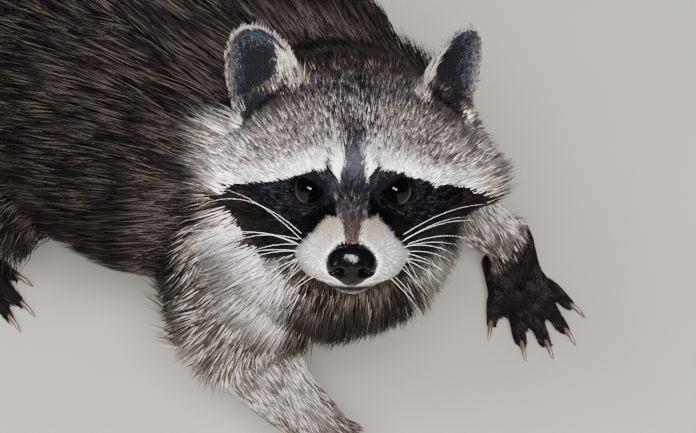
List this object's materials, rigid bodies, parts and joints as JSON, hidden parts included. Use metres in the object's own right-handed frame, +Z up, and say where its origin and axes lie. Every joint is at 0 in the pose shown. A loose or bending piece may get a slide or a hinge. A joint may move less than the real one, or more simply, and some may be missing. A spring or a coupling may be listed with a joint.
{
  "type": "raccoon",
  "caption": "Life-size still model of an adult raccoon standing on four feet, head turned to its right and raised, ringed bushy tail trailing behind.",
  "frame": {"origin": "on the floor, under the middle of the animal's bounding box", "axes": "+X forwards along the trunk (the head is turned to the animal's right of it), +Y to the animal's left, +Z up"},
  "size_m": [0.6848, 0.2636, 0.3049],
  "materials": {
    "fur_head": "short to medium coat: black eye mask, white brow bands and muzzle, grizzled grey crown",
    "fur_pale": "short white and cream hair of the chin",
    "fur_ear": "short dense hair, charcoal inside and pale at the rim",
    "fur_body": "long coarse coat, dark brown with buff-grey tips",
    "fur_tail": "bushy coat with dark and buff rings",
    "paw_hair": "bare black pads and very short black hair",
    "nose_leather": "moist, glossy black, pebbled",
    "eye_gloss": "wet, mirror-smooth, brown-black",
    "claw_horn": "dark horn, satin"
  },
  "bodies": {
    "root": {"claw_fore_left_1": "claw_horn", "claw_fore_left_2": "claw_horn", "claw_fore_left_3": "claw_horn", "claw_fore_left_4": "claw_horn", "claw_fore_left_5": "claw_horn", "claw_fore_right_1": "claw_horn", "claw_fore_right_2": "claw_horn", "claw_fore_right_3": "claw_horn", "claw_fore_right_4": "claw_horn", "claw_fore_right_5": "claw_horn", "claw_hind_left_1": "claw_horn", "claw_hind_left_2": "claw_horn", "claw_hind_left_3": "claw_horn", "claw_hind_left_4": "claw_horn", "claw_hind_left_5": "claw_horn", "claw_hind_right_1": "claw_horn", "claw_hind_right_2": "claw_horn", "claw_hind_right_3": "claw_horn", "claw_hind_right_4": "claw_horn", "claw_hind_right_5": "claw_horn", "ear_left": "fur_ear", "ear_right": "fur_ear", "eye_left": "eye_gloss", "eye_right": "eye_gloss", "forearm_left": "fur_body", "forearm_right": "fur_body", "forepaw_left": "paw_hair", "forepaw_right": "paw_hair", "head": "fur_head", "hindpaw_left": "paw_hair", "hindpaw_right": "paw_hair", "lower_jaw": "fur_pale", "neck": "fur_head", "nose": "nose_leather", "shank_left": "fur_body", "shank_right": "fur_body", "tail": "fur_tail", "thigh_left": "fur_body", "thigh_right": "fur_body", "trunk": "fur_body", "upper_arm_left": "fur_body", "upper_arm_right": "fur_body"}
  },
  "joints": []
}
